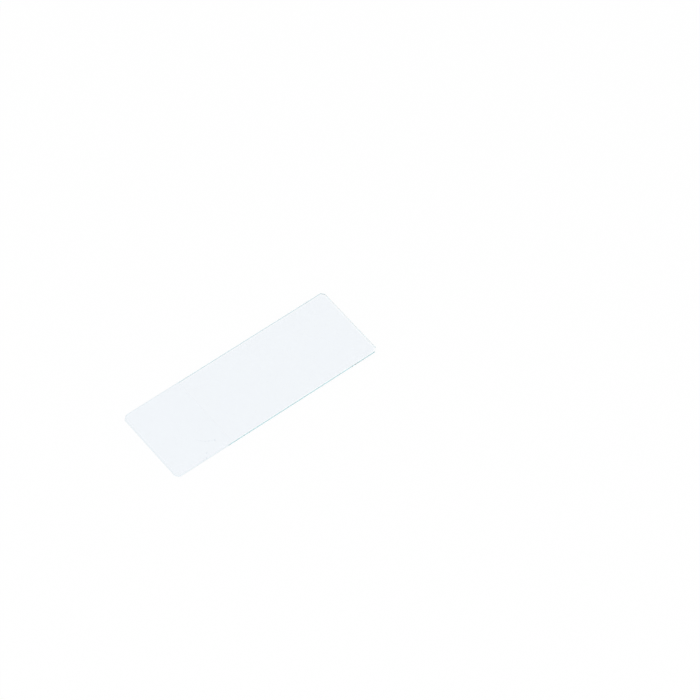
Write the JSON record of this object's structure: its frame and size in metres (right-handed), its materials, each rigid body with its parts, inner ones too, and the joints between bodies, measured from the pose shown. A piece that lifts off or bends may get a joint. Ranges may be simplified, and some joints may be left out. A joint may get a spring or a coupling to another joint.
{
  "type": "microscope slide",
  "caption": "Flat rectangular plate of clear glass with clipped corners, bevelled ground edges and a frosted end to write on, which carries a specimen under a microscope.",
  "frame": {"origin": "middle of the underside, which lies on z = 0", "axes": "+X along the plate from the frosted end to the clear end, +Y across its width, +Z out of the face that is frosted at one end"},
  "size_m": [0.076, 0.026, 0.001],
  "materials": {
    "clear_glass": "polished faces, ground edges with a pale green-blue tint, one sandblasted end"
  },
  "bodies": {
    "root": {"glass_slide": "clear_glass"}
  },
  "joints": []
}
